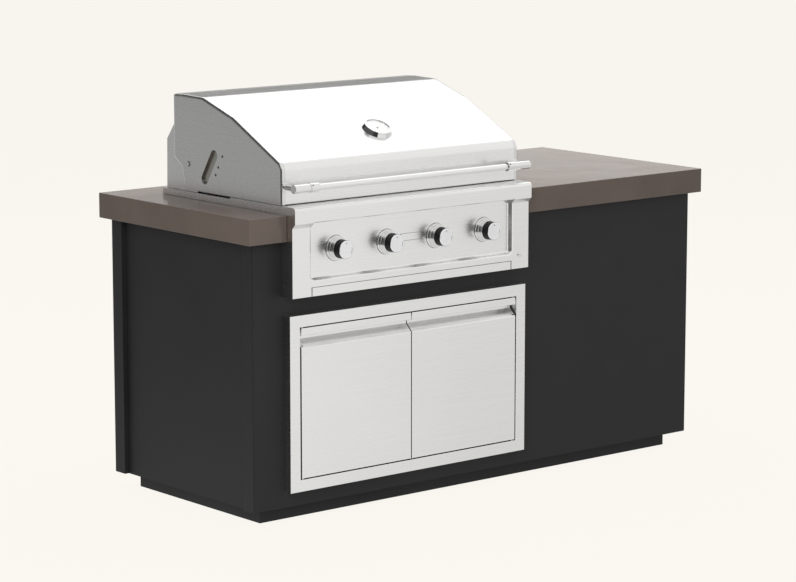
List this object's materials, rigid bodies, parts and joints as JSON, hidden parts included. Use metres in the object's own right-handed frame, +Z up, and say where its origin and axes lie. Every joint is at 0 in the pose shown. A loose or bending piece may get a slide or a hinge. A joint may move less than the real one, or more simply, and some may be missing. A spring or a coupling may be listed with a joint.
{
  "type": "outdoor kitchen island",
  "caption": "Free-standing outdoor kitchen island: thick counter, dark panelled body, built-in gas grill with hinged lid, knobs and drip tray, and twin access doors.",
  "frame": {"origin": "on the floor under the middle of the island's box", "axes": "+X along the counter to the user's right, +Y from the user's side to the rear, +Z up"},
  "size_m": [1.8288, 0.824, 1.2261],
  "materials": {
    "concrete": "cast concrete, sealed matt",
    "powder_coat": "fine-textured matt powder coat",
    "frame_steel": "satin primer",
    "black_plastic": "moulded",
    "stainless": "horizontal brushed grain",
    "polished_steel": "polished",
    "chrome_trim": "mirror chrome",
    "knob_metal": "polished side, brushed face",
    "brass": "machined",
    "gas_pipe": "satin",
    "dial_white": "satin enamel",
    "needle_black": "matt",
    "clear_glass": "clear"
  },
  "bodies": {
    "island": {"countertop": "concrete", "left_side_panel": "powder_coat", "right_side_panel": "powder_coat", "front_panel": "powder_coat", "rear_panel": "powder_coat", "rear_posts": "powder_coat", "plinth": "powder_coat", "cabinet_floor": "powder_coat", "partition": "powder_coat", "frame_posts": "frame_steel", "top_rails": "frame_steel", "grill_supports": "frame_steel", "leveling_feet": "frame_steel", "panel_screws": "polished_steel", "door_frame": "stainless", "door_hinge_pins": "polished_steel", "door_catches": "black_plastic", "firebox": "stainless", "base_flanges": "stainless", "rear_housing": "stainless", "front_ledge": "stainless", "control_panel": "stainless", "name_plate": "stainless", "knob_bezels": "chrome_trim", "valve_bodies": "brass", "gas_manifold": "gas_pipe", "burners": "stainless", "heat_plates": "stainless", "cooking_grates": "polished_steel", "warming_rack": "polished_steel", "tray_runners": "stainless", "button_switch": "black_plastic", "lid_pivot_pins": "polished_steel"},
    "lid": {"lid_skin": "stainless", "lid_left_side": "stainless", "lid_right_side": "stainless", "lid_liner": "stainless", "handle_tube": "stainless", "handle_sleeves": "polished_steel", "handle_brackets": "polished_steel", "gauge_case": "chrome_trim", "gauge_dial": "dial_white", "gauge_lens": "clear_glass"},
    "gauge_needle": {"gauge_needle": "needle_black"},
    "left_door": {"left_door_skin": "stainless", "left_door_liner": "stainless"},
    "right_door": {"right_door_skin": "stainless", "right_door_liner": "stainless"},
    "drip_tray": {"drip_tray": "stainless", "drip_tray_front": "stainless"},
    "igniter_button": {"igniter_button": "polished_steel"},
    "valve_stem_1": {"valve_stem_1": "brass"},
    "knob_1": {"knob_1": "knob_metal"},
    "valve_stem_2": {"valve_stem_2": "brass"},
    "knob_2": {"knob_2": "knob_metal"},
    "valve_stem_3": {"valve_stem_3": "brass"},
    "knob_3": {"knob_3": "knob_metal"},
    "valve_stem_4": {"valve_stem_4": "brass"},
    "knob_4": {"knob_4": "knob_metal"}
  },
  "joints": [
    {"name": "lid_hinge", "type": "hinge", "parent": "island", "child": "lid", "pos_m": [-0.3218, 0.133, 1.0184], "axis": [-1, 0, 0], "range_deg": [0, 90]},
    {"name": "gauge_needle_turn", "type": "hinge", "parent": "lid", "child": "gauge_needle", "pos_m": [-0.3268, -0.2055, 1.11753], "axis": [0, 0.4536, -0.8912], "range_deg": [0, 270], "stiffness_Nm_per_rad": 0.002},
    {"name": "left_door_hinge", "type": "hinge", "parent": "island", "child": "left_door", "pos_m": [-0.7202, -0.3407, 0.35], "axis": [0, 0, -1], "range_deg": [0, 110]},
    {"name": "right_door_hinge", "type": "hinge", "parent": "island", "child": "right_door", "pos_m": [0.1029, -0.3407, 0.35], "axis": [0, 0, 1], "range_deg": [0, 110]},
    {"name": "knob_turn_1", "type": "hinge", "parent": "island", "child": "valve_stem_1", "pos_m": [-0.60845, -0.3606, 0.8061], "axis": [0, -1, 0], "range_deg": [0, 225]},
    {"name": "knob_push_1", "type": "slide", "parent": "valve_stem_1", "child": "knob_1", "axis": [0, 1, 0], "range_m": [0, 0.003], "stiffness_N_per_m": 1500},
    {"name": "knob_turn_2", "type": "hinge", "parent": "island", "child": "valve_stem_2", "pos_m": [-0.41735, -0.3606, 0.8061], "axis": [0, -1, 0], "range_deg": [0, 225]},
    {"name": "knob_push_2", "type": "slide", "parent": "valve_stem_2", "child": "knob_2", "axis": [0, 1, 0], "range_m": [0, 0.003], "stiffness_N_per_m": 1500},
    {"name": "knob_turn_3", "type": "hinge", "parent": "island", "child": "valve_stem_3", "pos_m": [-0.22625, -0.3606, 0.8061], "axis": [0, -1, 0], "range_deg": [0, 225]},
    {"name": "knob_push_3", "type": "slide", "parent": "valve_stem_3", "child": "knob_3", "axis": [0, 1, 0], "range_m": [0, 0.003], "stiffness_N_per_m": 1500},
    {"name": "knob_turn_4", "type": "hinge", "parent": "island", "child": "valve_stem_4", "pos_m": [-0.03515, -0.3606, 0.8061], "axis": [0, -1, 0], "range_deg": [0, 225]},
    {"name": "knob_push_4", "type": "slide", "parent": "valve_stem_4", "child": "knob_4", "axis": [0, 1, 0], "range_m": [0, 0.003], "stiffness_N_per_m": 1500},
    {"name": "igniter_push", "type": "slide", "parent": "island", "child": "igniter_button", "axis": [0, 1, 0], "range_m": [0, 0.0025], "stiffness_N_per_m": 600},
    {"name": "drip_tray_slide", "type": "slide", "parent": "island", "child": "drip_tray", "axis": [0, -1, 0], "range_m": [0, 0.4]}
  ]
}
